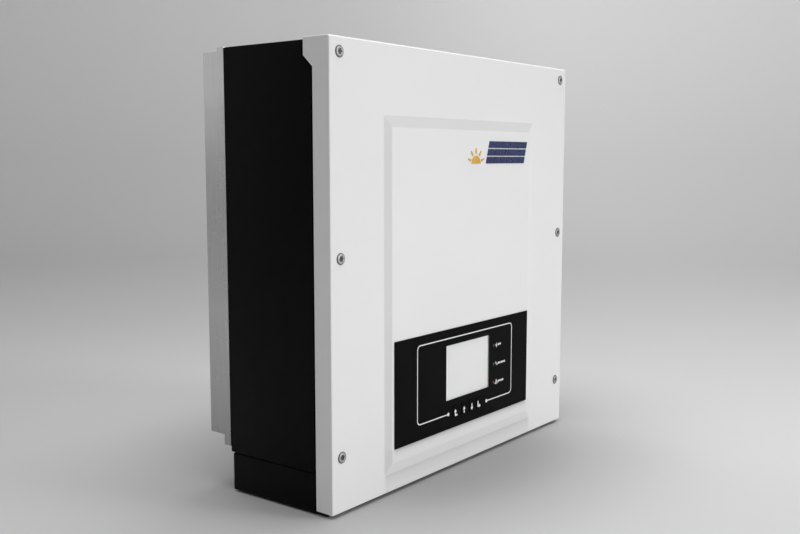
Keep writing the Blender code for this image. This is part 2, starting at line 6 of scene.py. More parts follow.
import bmesh
import bpy
from mathutils import Euler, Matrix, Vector


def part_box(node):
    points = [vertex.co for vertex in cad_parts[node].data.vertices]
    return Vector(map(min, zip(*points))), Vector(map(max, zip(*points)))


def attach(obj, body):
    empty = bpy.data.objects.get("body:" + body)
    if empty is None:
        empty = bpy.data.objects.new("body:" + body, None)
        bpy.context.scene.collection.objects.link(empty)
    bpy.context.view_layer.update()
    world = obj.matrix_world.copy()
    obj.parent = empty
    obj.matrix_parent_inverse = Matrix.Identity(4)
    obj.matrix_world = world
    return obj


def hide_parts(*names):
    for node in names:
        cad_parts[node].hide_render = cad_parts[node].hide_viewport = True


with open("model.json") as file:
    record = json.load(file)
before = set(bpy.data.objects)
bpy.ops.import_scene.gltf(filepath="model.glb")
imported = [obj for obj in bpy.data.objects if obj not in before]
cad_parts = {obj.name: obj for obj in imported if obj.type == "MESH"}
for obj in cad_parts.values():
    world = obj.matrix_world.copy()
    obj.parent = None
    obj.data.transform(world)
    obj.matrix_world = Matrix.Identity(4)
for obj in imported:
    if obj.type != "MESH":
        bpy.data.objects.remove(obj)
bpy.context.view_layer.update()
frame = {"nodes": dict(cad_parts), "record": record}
NODES = frame["nodes"]
WHITE = (1.0, 1.0, 1.0, 1.0)

# Sizes are in metres and angles in degrees. Places come from the CAD boxes where they can.
BOSS_RAISE = 0.0015                     # how far the boss, the cover's raised panel, stands out
COVER_LOW, COVER_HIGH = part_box("front_cover")
FACE_Y = COVER_LOW.y + BOSS_RAISE       # the plane of the cover's front face
HOOD_Y = COVER_HIGH.y                   # how far back the cover's top reaches
OVERLAY_LOW, OVERLAY_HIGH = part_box("display_overlay")
BOSS = (-0.141, 0.141, 0.0195, 0.374)   # lowest and highest x, then z
PRINT_LIFT = 0.00008                    # how far a print stands out of what carries it
PRINT_DEPTH = 0.00006

# Painted light and shade: height or x, and how much it changes the cover paint's tone there; then the
# same for the heat sink, where the tone is painted reflection and shade.
FRONT_PAINTED_LIGHT_UP = ((0.002, 1.17), (0.07, 1.11), (0.15, 1.02), (0.24, 1.0), (0.44, 0.955))
FRONT_PAINTED_LIGHT_ACROSS = ((-0.20, 1.01), (0.0, 0.985), (0.20, 0.945))
SLOPE_PAINTED_SHADE = 0.155                    # how much painted shade darkens the boss's slopes that face up or left
SINK_PAINTED_REFLECTION = ((0.03, 0.43), (0.12, 0.72), (0.22, 1.20), (0.42, 0.98))

CAMERA_PLACE = (-0.8685, -0.6631, 0.3327)
CAMERA_YAW = 37.676
CAMERA_PITCH = -6.368
CAMERA_LENS = 43.66                     # in millimetres, as is the sensor
CAMERA_SENSOR = 36.0

AMBIENT = 0.40                          # the even light from all round
OPEN = 180.0                            # the spread of a soft box that nothing narrows
# Each soft box: its place, what it points at, its width and height, its watts and its spread.
LIGHTS = {
    "front_box": ((1.5, -3.6, 1.05), (0.0, 0.0, 0.22), (1.4, 0.9), 8.8, 60.0),
    "side_box": ((-2.0, 2.3, 0.95), (0.0, 0.0, 0.30), (1.0, 1.1), 1.0, OPEN),
    "top_box": ((0.05, -0.1, 1.9), (0.05, -0.1, 0.0), (1.8, 1.4), 25.0, OPEN),
    "rear_box": ((0.8, 2.9, 2.1), (0.0, 0.1, 0.2), (1.2, 0.9), 1.3, 70.0),
    "back_box": ((1.6, 1.2, 2.6), (4.6, 2.4, 1.0), (1.4, 1.0), 29.0, OPEN),
}

STUDIO_RADIUS = 5.0                     # the studio's inner size, the radius of its curve, its height
STUDIO_SWEEP = 2.4
STUDIO_WALL = 3.2
STUDIO_DROP = 0.0015                    # the object stands this far clear of the floor, on hidden feet
STUDIO_LIGHT_SIDE = (0.61, -0.79, 0.0)  # the way towards which the floor's painted light grows
# Painted light and shade on the floor: distance across the floor towards the lighter side, and how much
# it changes the tone there; then distance from the middle of the floor, and the tone there, a painted
# shadow close round the object and painted light further out and higher up.
STUDIO_PAINTED_SIDE_LIGHT = ((-0.6, 0.87), (1.0, 1.11))
STUDIO_PAINTED_SHADE_AND_LIGHT = ((0.12, 0.360), (0.20, 0.470), (0.35, 0.615), (0.60, 0.595), (1.20, 0.547),
                (2.60, 0.610), (3.80, 0.665), (4.50, 0.770), (5.20, 0.880))


# Scene

def show(name, data):
    """Puts an object with this data in the scene."""
    made = bpy.data.objects.new(name, data)
    bpy.context.scene.collection.objects.link(made)
    return made


def camera():
    data = bpy.data.cameras.new("camera")
    data.lens = CAMERA_LENS
    data.sensor_width = CAMERA_SENSOR
    made = show("camera", data)
    made.location = CAMERA_PLACE
    level, ahead = 90.0, -90.0          # turns a camera that looks down to look along the x axis
    made.rotation_euler = Euler((math.radians(level + CAMERA_PITCH), 0.0,
                                 math.radians(ahead + CAMERA_YAW)))
    bpy.context.scene.camera = made


def lights():
    """Even light from all round, and the soft boxes."""
    world = bpy.data.worlds.new("studio")
    world.use_nodes = True
    background = world.node_tree.nodes["Background"]
    background.inputs["Color"].default_value = WHITE
    background.inputs["Strength"].default_value = AMBIENT
    bpy.context.scene.world = world
    for name, (place, target, size, power, spread) in LIGHTS.items():
        data = bpy.data.lights.new(name, "AREA")
        data.shape = "RECTANGLE"
        data.size, data.size_y = size
        data.energy = power
        data.spread = math.radians(spread)
        made = show(name, data)
        made.location = place
        made.rotation_euler = (Vector(target) - Vector(place)).to_track_quat("-Z", "Y").to_euler()
    bpy.context.scene.view_settings.view_transform = "Standard"


# Materials

NOISE_LOW, NOISE_HIGH = 0.3, 0.7        # nearly all of a noise lies between these


class Finish:
    """A Principled material and the nodes that vary it."""

    def __init__(self, name, metallic=0.0, specular=0.5):
        self.material = bpy.data.materials.new(name)
        self.material.use_nodes = True
        self.tree = self.material.node_tree
        self.shader = self.tree.nodes["Principled BSDF"]
        self.shader.inputs["Metallic"].default_value = metallic
        self.shader.inputs["Specular IOR Level"].default_value = specular
        self.place = self.node("ShaderNodeTexCoord").outputs["Object"]

    def node(self, kind, **settings):
        made = self.tree.nodes.new(kind)
        for name, value in settings.items():
            setattr(made, name, value)
        return made

    def wire(self, source, target):
        self.tree.links.new(source, target)

    def noise(self, scale, detail=2.0, stretch=(1.0, 1.0, 1.0)):
        """Noise with scale features to a metre; stretch multiplies that along each axis."""
        mapping = self.node("ShaderNodeMapping")
        mapping.inputs["Scale"].default_value = stretch
        self.wire(self.place, mapping.inputs["Vector"])
        made = self.node("ShaderNodeTexNoise")
        made.inputs["Scale"].default_value = scale
        made.inputs["Detail"].default_value = detail
        self.wire(mapping.outputs["Vector"], made.inputs["Vector"])
        return made.outputs["Fac"]

    def blend(self, factor, dark, light, low=NOISE_LOW, high=NOISE_HIGH):
        """A colour between two, as the factor goes from low to high."""
        ramp = self.node("ShaderNodeValToRGB")
        ramp.color_ramp.elements[0].position = low
        ramp.color_ramp.elements[0].color = (*dark, 1.0)
        ramp.color_ramp.elements[1].position = high
        ramp.color_ramp.elements[1].color = (*light, 1.0)
        self.wire(factor, ramp.inputs["Fac"])
        return ramp.outputs["Color"]

    def span(self, factor, low, high):
        """A number between two, as a noise goes from its low to its high end."""
        ranged = self.node("ShaderNodeMapRange")
        ranged.inputs["From Min"].default_value = NOISE_LOW
        ranged.inputs["From Max"].default_value = NOISE_HIGH
        ranged.inputs["To Min"].default_value = low
        ranged.inputs["To Max"].default_value = high
        self.wire(factor, ranged.inputs["Value"])
        return ranged.outputs["Result"]

    def axis(self, name):
        """One coordinate of the place on the object, in metres."""
        made = self.node("ShaderNodeSeparateXYZ")
        self.wire(self.place, made.inputs["Vector"])
        return made.outputs[name]

    def follow(self, value, stops, smooth="LINEAR"):
        """A grey that goes through a list of (value, tone) as the value grows."""
        first, last = stops[0][0], stops[-1][0]
        reach = self.node("ShaderNodeMapRange")
        reach.inputs["From Min"].default_value = first
        reach.inputs["From Max"].default_value = last
        self.wire(value, reach.inputs["Value"])
        ramp = self.node("ShaderNodeValToRGB")
        ramp.color_ramp.interpolation = smooth
        for _ in stops[2:]:             # a new ramp has two stops
            ramp.color_ramp.elements.new(0.5)
        for stop, (at, tone) in zip(ramp.color_ramp.elements, stops):
            stop.position = (at - first) / (last - first)
            stop.color = (tone, tone, tone, 1.0)
        self.wire(reach.outputs["Result"], ramp.inputs["Fac"])
        return ramp.outputs["Color"]

    def times(self, colour, factor):
        """The colour, with each of its channels multiplied by the factor's."""
        made = self.node("ShaderNodeVectorMath", operation="MULTIPLY")
        self.wire(colour, made.inputs[0])
        self.wire(factor, made.inputs[1])
        return made.outputs["Vector"]

    def where(self, factor, colour):
        """The colour where the factor is 1, white where it is 0."""
        made = self.node("ShaderNodeMix", data_type="RGBA")
        made.inputs["A"].default_value = WHITE
        self.wire(factor, made.inputs["Factor"])
        self.wire(colour, made.inputs["B"])
        return made.outputs["Result"]

    def colour(self, source):
        self.wire(source, self.shader.inputs["Base Color"])

    def rough(self, source):
        self.wire(source, self.shader.inputs["Roughness"])

    def bump(self, height, depth):
        made = self.node("ShaderNodeBump")
        made.inputs["Strength"].default_value = 1.0
        made.inputs["Distance"].default_value = depth
        self.wire(height, made.inputs["Height"])
        self.wire(made.outputs["Normal"], self.shader.inputs["Normal"])


def grey(value):
    return (value, value, value)


PAINT_CLOUDS, PAINT_GLOSS, PAINT_PEEL = 7.0, 60.0, 900.0    # noise scales of sprayed paint
GLOSS_VARIES = 0.03


def spray(made, rough, peel):
    """Gives a finish the slow changes of gloss and the fine orange peel of baked powder paint."""
    made.rough(made.span(made.noise(PAINT_GLOSS, 3.0), rough - GLOSS_VARIES, rough + GLOSS_VARIES))
    made.bump(made.noise(PAINT_PEEL), peel)
    return made.material


def back_coat():
    """The black paint of the housing and its skirt."""
    made = Finish("black_powder_coat", specular=0.06)
    made.colour(made.blend(made.noise(PAINT_CLOUDS, 3.0), grey(0.0027), grey(0.0033)))
    return spray(made, 0.5, 0.00002)


def front_coat():
    """The cover's white paint, with painted light and shade: a painted tone that evens out the light up
    and across the face, painted shade on the slopes that face up or left, and painted shadows in two
    strips below the display and below the boss."""
    made = Finish("white_powder_coat", specular=0.25)
    tone = made.blend(made.noise(PAINT_CLOUDS, 3.0), grey(0.785), grey(0.800))
    x, z = made.axis("X"), made.axis("Z")
    # Painted light: the face is lighter towards the bottom and the left, evening out how the lamps fall
    # on it.
    tone = made.times(tone, made.follow(z, FRONT_PAINTED_LIGHT_UP, "B_SPLINE"))
    tone = made.times(tone, made.follow(x, FRONT_PAINTED_LIGHT_ACROSS, "B_SPLINE"))

    # Painted shadows below the boss and below the display: height and tone up each strip, and the x
    # between which the strip runs.
    boss, display = BOSS[2], OVERLAY_LOW.z
    shadow_below_boss = ((0.002, 0.94), (boss - 0.013, 0.92), (boss - 0.005, 0.86), (boss, 0.77),
                  (boss + 0.0015, 0.95), (display, 0.95), (display + 0.001, 1.0))
    shadow_below_display = ((boss + 0.002, 1.0), (display - 0.009, 0.99), (display - 0.005, 0.92),
                     (display - 0.002, 0.76), (display, 0.50), (display + 0.001, 1.0))
    outside, inside = 0.001, 0.004      # how far the strip's ends fade on each side of its x
    for stops, first, last in ((shadow_below_boss, BOSS[0], BOSS[1]),
                               (shadow_below_display, OVERLAY_LOW.x, OVERLAY_HIGH.x)):
        across = made.follow(x, ((first - outside, 0.0), (first + inside, 1.0),
                                 (last - inside, 1.0), (last + outside, 0.0)))
        tone = made.times(tone, made.where(across, made.follow(z, stops)))

    # Painted shade on the boss's slopes that face up or left; the bends are left out.
    up_and_left = (-0.9, 0.0, 1.0)
    facing = made.node("ShaderNodeVectorMath", operation="DOT_PRODUCT")
    facing.inputs[1].default_value = up_and_left
    normal = made.node("ShaderNodeNewGeometry").outputs["Normal"]
    made.wire(normal, facing.inputs[0])
    split = made.node("ShaderNodeSeparateXYZ")
    made.wire(normal, split.inputs["Vector"])
    slope_shade = made.follow(facing.outputs["Value"], ((0.03, 1.0), (0.11, 1.0 - SLOPE_PAINTED_SHADE)))
    front = made.follow(split.outputs["Y"], ((-0.985, 1.0), (-0.95, 0.0)))    # not on the bends
    made.colour(made.times(tone, made.where(front, slope_shade)))
    return spray(made, 0.52, 0.000008)


def aluminium():
    """Extruded metal: fine lines up and down, soft clouds of oxide, and painted reflection and shade
    that make it darker towards the bottom.
    """
    made = Finish("extruded_aluminium", metallic=1.0, specular=0.4)
    lines = made.noise(26.0, 5.0, stretch=(30.0, 30.0, 0.6))
    tone = made.blend(lines, grey(0.68), grey(0.75), 0.35, 0.65)
    # Painted reflection and shade: much darker towards the bottom, lightest a little above the middle.
    made.colour(made.times(tone, made.follow(made.axis("Z"), SINK_PAINTED_REFLECTION, "B_SPLINE")))
    made.rough(made.span(made.noise(18.0, 4.0), 0.21, 0.33))
    made.bump(lines, 0.00003)
    return made.material


def plain(name, dark, light, rough, scale=220.0, grain=0.00001, metallic=0.0, specular=0.5):
    """A moulded or plated surface with a fine even grain."""
    made = Finish(name, metallic=metallic, specular=specular)
    made.colour(made.blend(made.noise(scale * 0.2, 3.0), dark, light))
    made.rough(made.span(made.noise(scale), rough - 0.04, rough + 0.04))
    made.bump(made.noise(scale * 4.0), grain)
    return made.material


def lcd_face():
    """A blank display: pale grey glass with the faint grid of its cells."""
    made = Finish("lcd_face", specular=0.3)
    mapping = made.node("ShaderNodeMapping")
    cells_per_metre = 1250.0
    mapping.inputs["Scale"].default_value = (cells_per_metre, 1.0, cells_per_metre)
    made.wire(made.place, mapping.inputs["Vector"])
    cells = made.node("ShaderNodeTexChecker")
    cells.inputs["Scale"].default_value = 1.0
    cells.inputs["Color1"].default_value = (0.84, 0.845, 0.84, 1.0)
    cells.inputs["Color2"].default_value = (0.83, 0.835, 0.83, 1.0)
    made.wire(mapping.outputs["Vector"], cells.inputs["Vector"])
    made.colour(cells.outputs["Color"])
    made.rough(made.span(made.noise(40.0), 0.30, 0.36))
    return made.material


def clear_film():
    """The window over the display: nearly invisible, with a soft gloss."""
    made = Finish("clear_film", specular=0.4)
    made.colour(made.blend(made.noise(20.0), grey(0.80), grey(0.84)))
    made.rough(made.span(made.noise(35.0), 0.10, 0.16))
    made.shader.inputs["Alpha"].default_value = 0.10
    return made.material


def winding():
    """Enamelled copper wire laid round a core."""
    made = Finish("winding", metallic=0.8)
    waves = made.node("ShaderNodeTexWave", wave_type="BANDS", bands_direction="DIAGONAL")
    waves.inputs["Scale"].default_value = 90.0
    waves.inputs["Distortion"].default_value = 1.5
    made.wire(made.place, waves.inputs["Vector"])
    made.colour(made.blend(waves.outputs["Fac"], (0.24, 0.07, 0.02), (0.62, 0.24, 0.08)))
    made.rough(made.span(waves.outputs["Fac"], 0.3, 0.45))
    made.bump(waves.outputs["Fac"], 0.0003)
    return made.material


def circuit_board():
    """Green solder mask with darker tracks."""
    made = Finish("circuit_board")
    tracks = made.node("ShaderNodeTexVoronoi", feature="DISTANCE_TO_EDGE")
    tracks.inputs["Scale"].default_value = 110.0
    made.wire(made.place, tracks.inputs["Vector"])
    mask, track = (0.02, 0.17, 0.06), (0.008, 0.075, 0.03)
    made.colour(made.blend(tracks.outputs["Distance"], mask, track, 0.03, 0.06))
    made.rough(made.span(made.noise(90.0), 0.3, 0.45))
    return made.material


FINISHES = {
    "white_paint": front_coat(),
    "black_paint": back_coat(),
    "bare_aluminium": aluminium(),
    "steel": plain("zinc_plated_steel", grey(0.34), grey(0.42), 0.48, metallic=0.6),
    "dark_steel": plain("dark_steel", grey(0.06), grey(0.09), 0.4, metallic=0.7),
    "copper": winding(),
    "rubber": plain("foam_rubber", grey(0.012), grey(0.02), 0.85, scale=500.0, grain=0.00008),
    "gloss_black": plain("display_film", grey(0.0042), grey(0.0048), 0.36, scale=120.0,
                         specular=0.02),
    "clear": clear_film(),
    "lcd_grey": lcd_face(),
    "board_green": circuit_board(),
    "black_plastic": plain("black_plastic", grey(0.006), grey(0.010), 0.5, scale=500.0,
                           grain=0.00003, specular=0.3),
    "key_black": plain("key_black", grey(0.0022), grey(0.0028), 0.6, scale=400.0, specular=0.04),
    "green_lens": plain("green_lens", (0.004, 0.045, 0.016), (0.006, 0.07, 0.026), 0.3, scale=300.0),
    "red_lens": plain("red_lens", (0.14, 0.006, 0.006), (0.19, 0.009, 0.008), 0.3, scale=300.0),
    "white_print": plain("white_print", grey(0.76), grey(0.80), 0.45, scale=600.0),
    "navy_print": plain("navy_enamel", (0.008, 0.020, 0.085), (0.012, 0.028, 0.11), 0.3, scale=260.0),
    "amber_print": plain("amber_enamel", (0.60, 0.33, 0.05), (0.72, 0.42, 0.08), 0.3, scale=260.0),
}


# Mesh helpers

CREASE = 30.0                           # faces that meet at more than this stay sharp
COVER_CREASE = 40.0
SINK_CREASE = 35.0


def to_mesh(name, bm):
    """Turns a bmesh into a mesh whose faces all look outwards."""
    bmesh.ops.recalc_face_normals(bm, faces=bm.faces)
    mesh = bpy.data.meshes.new(name)
    bm.to_mesh(mesh)
    bm.free()
    return mesh


def put(name, bm, finish, body="case", stands_for=()):
    """Makes a piece from a bmesh, in place, and lets it ride on a body."""
    mesh = to_mesh(name, bm)
    mesh.materials.append(FINISHES[finish])
    mesh.shade_smooth()
    mesh.set_sharp_from_angle(angle=math.radians(CREASE))
    made = show(name, mesh)
    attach(made, body)
    if stands_for:
        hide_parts(*stands_for)
    return made


def settle(piece, sharp):
    """Applies a piece's modifiers, marks its creases, and keeps flat faces flat."""
    bpy.context.view_layer.update()
    solid = bpy.data.meshes.new_from_object(piece.evaluated_get(bpy.context.evaluated_depsgraph_get()))
    piece.modifiers.clear()
    piece.data = solid
    solid.shade_smooth()
    solid.set_sharp_from_angle(angle=math.radians(sharp))
    weighted = piece.modifiers.new("flat_faces", "WEIGHTED_NORMAL")
    weighted.keep_sharp = True
    weighted.weight = 60                # above 50, the larger faces count for more


def loft(bm, rings, caps=True):
    """Joins closed rings of points, one after another, and closes the ends."""
    made = [[bm.verts.new(point) for point in ring] for ring in rings]
    count = len(made[0])
    for ring, following in zip(made, made[1:]):
        for i in range(count):
            j = (i + 1) % count
            bm.faces.new((ring[i], ring[j], following[j], following[i]))
    if caps:
        bm.faces.new(reversed(made[0]))
        bm.faces.new(made[-1])


def plate(bm, outline, front, back):
    """A flat (x, z) outline between two depths."""
    loft(bm, [[(x, y, z) for x, z in outline] for y in (front, back)])


SHARPEST = 0.4      # a corner of a line reaches out no further than half the line's width over this


def band(bm, path, width, front, back, closed=False):
    """A line of even width along (x, z) points, between two depths."""
    count = len(path)
    sides = []
    for i, point in enumerate(path):
        here = Vector(point)
        before = Vector(path[i - 1]) if i or closed else here
        after = Vector(path[(i + 1) % count]) if i < count - 1 or closed else here
        first = (here - before).normalized() if before != here else (after - here).normalized()
        second = (after - here).normalized() if after != here else first
        normal = Vector((-(first + second).y, (first + second).x)).normalized()
        reach = width / 2 / max(SHARPEST, normal.dot(Vector((-second.y, second.x))))
        sides.append((here + normal * reach, here - normal * reach))
    rings = [[bm.verts.new((p.x, y, p.y)) for p, y in ((a, front), (a, back), (b, back), (b, front))]
             for a, b in sides]
    pairs = list(zip(rings, rings[1:]))
    if closed:
        pairs.append((rings[-1], rings[0]))
    for ring, following in pairs:
        for i in range(4):
            j = (i + 1) % 4
            bm.faces.new((ring[i], ring[j], following[j], following[i]))
    if not closed:
        bm.faces.new(reversed(rings[0]))
        bm.faces.new(rings[-1])


def arc(centre, radius, start, end, steps):
    """Points of an arc in (x, z)."""
    angles = [math.radians(start + (end - start) * i / steps) for i in range(steps + 1)]
    return [(centre[0] + radius * math.cos(a), centre[1] + radius * math.sin(a)) for a in angles]


def rounded(x_low, x_high, z_low, z_high, radius, steps):
    """A rectangle with round corners, from its bottom edge's right end; steps are for each corner."""
    return (arc((x_high - radius, z_low + radius), radius, -90, 0, steps)
            + arc((x_high - radius, z_high - radius), radius, 0, 90, steps)
            + arc((x_low + radius, z_high - radius), radius, 90, 180, steps)
            + arc((x_low + radius, z_low + radius), radius, 180, 270, steps))


# Front cover

SHELL = 0.0013                          # the metal's thickness
FLANGE_DEPTH = 0.020                    # how far back the sides reach, and the bottom edge
BOTTOM_HEM = 0.0040
HOOD_SIDE_DROP = 0.0166                 # how far below the top the hood's slanted end starts and stops
HOOD_SLANT_DROP = 0.0272
BEND, TOP_BEND = 0.0011, 0.0026         # the bends from the face to the sides and to the top
BEND_STEPS = 6
CORNER, CORNER_LEAST = 0.0012, 0.0004
BOSS_SLOPE = 0.011                      # the width of the boss's sloped edge, and of its soft bends
BOSS_SOFT = 0.0009
DISPLAY_CUT = (-0.050, 0.066, 0.050, 0.146)
CUT_CORNER = 0.0010

# Points of a cover ring, counted from its bottom edge's right end
CORNER_STEPS = 4
CORNER_POINTS = CORNER_STEPS + 1
SIDE_POINTS = (4, 5, 18, 19)            # the sides, up to the hood's slanted ends
HOOD_POINTS = range(6, 18)
TOP_POINTS = range(7, 17)


def cover_ring(x_low, x_high, z_low, z_high, radius, depth):
    """A rounded rectangle with extra points where the hood's edge bends. Its depth is a number, or
    a function of a point's place in the ring."""
    full = COVER_HIGH.z - COVER_LOW.z
    share = [1 - drop / full for drop in (HOOD_SLANT_DROP, HOOD_SIDE_DROP)]
    corners = rounded(x_low, x_high, z_low, z_high, radius, CORNER_STEPS)
    right = [(x_high, z_low + s * (z_high - z_low)) for s in share]
    left = [(x_low, z) for _, z in reversed(right)]
    bottom_right, top, bottom_left = (corners[:CORNER_POINTS], corners[CORNER_POINTS:-CORNER_POINTS],
                                      corners[-CORNER_POINTS:])
    points = bottom_right + right + top + left + bottom_left
    return [(x, depth(i) if callable(depth) else depth, z) for i, (x, z) in enumerate(points)]


def flange_depth(index):
    """How far back the flange reaches at each point of a ring."""
    if index in SIDE_POINTS:
        return FACE_Y + FLANGE_DEPTH
    if index in HOOD_POINTS:
        return HOOD_Y
    return FACE_Y + BOTTOM_HEM


def inset(box, by):
    return (box[0] + by, box[1] - by, box[2] + by, box[3] - by)


def cover():
    """The folded sheet: flanges, round bends, the face, the boss, and the cut for the display."""
    outer = (COVER_LOW.x, COVER_HIGH.x, COVER_LOW.z, COVER_HIGH.z)
    rings = [cover_ring(*outer, CORNER, flange_depth)]
    for step in range(BEND_STEPS + 1):
        a = math.radians(90 * step / BEND_STEPS)
        side, top = BEND * (1 - math.cos(a)), TOP_BEND * (1 - math.cos(a))
        box = (outer[0] + side, outer[1] - side, outer[2] + side, outer[3] - top)
        depths = (FACE_Y + BEND * (1 - math.sin(a)), FACE_Y + TOP_BEND * (1 - math.sin(a)))
        rings.append(cover_ring(*box, max(CORNER - side, CORNER_LEAST),
                                lambda i: depths[i in TOP_POINTS]))

    # Up the boss's edge: how far in from its foot, how far out from the face, and the corners' radius
    soft = BOSS_SOFT * BOSS_RAISE / BOSS_SLOPE
    climb = ((-BOSS_SOFT, 0.0, 0.0022), (0.0, 0.25 * soft, 0.0016), (BOSS_SOFT, soft, 0.0014),
             (BOSS_SLOPE - BOSS_SOFT, BOSS_RAISE - soft, 0.0012),
             (BOSS_SLOPE, BOSS_RAISE - 0.25 * soft, 0.0010),
             (BOSS_SLOPE + BOSS_SOFT, BOSS_RAISE, 0.0010))
    rings += [cover_ring(*inset(BOSS, by), radius, FACE_Y - out) for by, out, radius in climb]
    rings.append(cover_ring(*DISPLAY_CUT, CUT_CORNER, FACE_Y - BOSS_RAISE))
    bm = bmesh.new()
    loft(bm, rings, caps=False)
    piece = put("cover_shell", bm, "white_paint", stands_for=["front_cover"])
    wall = piece.modifiers.new("sheet", "SOLIDIFY")
    wall.thickness = SHELL
    wall.offset = -1.0
    wall.use_even_offset = True
    settle(piece, COVER_CREASE)


SCREW_STEPS = 48
SCREW_LOBES = 6
# Along each profile: radius, height of the lobes, and how far out from the cover's face
WASHER = ((0.0030, 0.0, 0.0001), (0.0055, 0.0, 0.0001), (0.0056, 0.0, 0.0002),
          (0.0055, 0.0, 0.00035), (0.0030, 0.0, 0.0004))
HEAD = ((0.0026, 0.0, 0.0002), (0.0047, 0.0, 0.0003), (0.0048, 0.0, 0.0005), (0.0046, 0.0, 0.0008),
        (0.0042, 0.0, 0.0010), (0.0034, 0.0, 0.0011), (0.0029, 0.0001, 0.00108),
        (0.0027, 0.0003, 0.0010), (0.0026, 0.00034, 0.0008), (0.0025, 0.00034, 0.0002))
# The socket is a dark lobed disc in the head's recess: painted shade.
SOCKET_SHADE = ((0.0027, 0.0002, 0.00045), (0.0024, 0.0002, 0.00045), (0.0020, 0.0, 0.0004),
          (0.0004, 0.0, 0.00038))


def star_ring(place, radius, lobe, out):
    """A ring in front of the cover, round or with lobes."""
    points = []
    for i in range(SCREW_STEPS):
        a = 2 * math.pi * i / SCREW_STEPS
        r = radius + lobe * math.cos(SCREW_LOBES * a)
        points.append((place.x + r * math.cos(a), place.y - out, place.z + r * math.sin(a)))
    return points


def screws():
    """Each cover screw: a dark washer, and a low head with a raised ring and a lobed socket, which is a
    dark disc of painted shade.
    """
    for number in range(1, 7):
        cad = f"cover_screw_{number}"
        low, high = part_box(cad)
        place = Vector(((low.x + high.x) / 2, FACE_Y, (low.z + high.z) / 2))
        for name, profile, finish, stands_for in (("washer", WASHER, "dark_steel", ()),
                                                  ("head", HEAD, "steel", [cad]),
                                                  ("socket", SOCKET_SHADE, "dark_steel", ())):
            bm = bmesh.new()
            loft(bm, [star_ring(place, *ring) for ring in profile])
            put(f"screw_{name}_{number}", bm, finish, stands_for=stands_for)


# Display

FRAME = (-0.0898, 0.0935, 0.0608, 0.1432)   # the printed frame round the display: x, then z
FRAME_CORNER = 0.0048
FRAME_STEPS = 8
FRAME_LINE, FRAME_DOT = 0.00115, 0.0020     # the line's width and the dots' radius
DOT_LIFT = 0.00002                          # the dots' faces are this far in front of the line's
FRAME_GAP = (-0.0345, 0.0407)               # the frame is open here, over the keys


def display():
    """What is printed on the display's film: a line with two dot ends, and the lamps' marks."""
    front = OVERLAY_LOW.y - PRINT_LIFT
    back = front + PRINT_DEPTH
    base = FRAME[2]
    path = rounded(*FRAME, FRAME_CORNER, FRAME_STEPS)
    bm = bmesh.new()
    band(bm, [(FRAME_GAP[1], base)] + path + [(FRAME_GAP[0], base)], FRAME_LINE, front, back)
    for x in FRAME_GAP:
        plate(bm, arc((x, base), FRAME_DOT, 0, 345, 23), front - DOT_LIFT, back)
    put("frame_print", bm, "white_print")

    lamp_marks(front, back)


def lamp_marks(front, back):
    """Beside each lamp, a small sign for what it shows and a row of plain dashes for a word."""
    bm = bmesh.new()
    line, sign, beside = 0.0008, 0.0056, 0.0026
    dash_long, dash_high, dash_pitch = 0.0024, 0.0022, 0.0032
    wave_long, wave_high, wave_steps = 0.0046, 0.0018, 16
    side = 0.0048                           # of the triangle
    for name, dashes in (("led_earth", 2), ("led_normal", 5), ("led_alarm", 4)):
        low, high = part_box(name)
        left, z = high.x + beside, (low.z + high.z) / 2
        if name == "led_earth":             # an earth sign
            middle = left + 0.0022
            band(bm, [(middle, z + 0.0022), (middle, z)], line, front, back)
            for row, half in enumerate((0.0022, 0.0014, 0.0007)):
                level = z - 0.0012 * row
                band(bm, [(middle - half, level), (middle + half, level)], line, front, back)
        elif name == "led_normal":          # a wave
            shares = [i / wave_steps for i in range(wave_steps + 1)]
            band(bm, [(left + wave_long * share, z + wave_high * math.sin(2 * math.pi * share))
                      for share in shares], line, front, back)
        else:                               # a warning triangle
            middle = left + side / 2
            band(bm, [(left, z - 0.0020), (left + side, z - 0.0020), (middle, z + 0.0024)],
                 line, front, back, closed=True)
            band(bm, [(middle, z + 0.0008), (middle, z - 0.0010)], line, front, back)
        for dash in range(dashes):
            start = left + sign + dash_pitch * dash
            band(bm, [(start, z), (start + dash_long, z)], dash_high, front, back)
    put("lamp_marks", bm, "white_print")


def key_marks():
    """A white arrow on each key; it rides on the key."""
    shaft, head, reach = 0.0008, 0.0024, 0.0038     # half widths, and half the arrow's length
    neck = reach - 0.0034
    up = [(-shaft, -reach), (shaft, -reach), (shaft, neck), (head, neck),
          (0.0, reach), (-head, neck), (-shaft, neck)]
    down = [(x, -z) for x, z in reversed(up)]
    back = [(0.0030, -0.0038), (0.0030, -0.0020), (0.0, -0.0020), (0.0, 0.0006), (0.0018, 0.0006),
            (-0.0010, 0.0038), (-0.0034, 0.0006), (-0.0018, 0.0006), (-0.0018, -0.0038)]
    enter = [(-0.0028, 0.0038), (-0.0028, -0.0028), (0.0002, -0.0028), (0.0002, -0.0040),
             (0.0034, -0.0018), (0.0002, 0.0004), (0.0002, -0.0008), (-0.0010, -0.0008),
             (-0.0010, 0.0038)]
    off_middle = -0.0008
    for name, outline in (("key_up", up), ("key_down", down), ("key_back", back), ("key_enter", enter)):
        low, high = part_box(name)
        x, z = (low.x + high.x) / 2 + off_middle, (low.z + high.z) / 2 + off_middle
        front = low.y - PRINT_LIFT
        bm = bmesh.new()
        plate(bm, [(x + dx, z + dz) for dx, dz in outline], front, front + PRINT_DEPTH)
        put(name + "_mark", bm, "white_print", body=name)


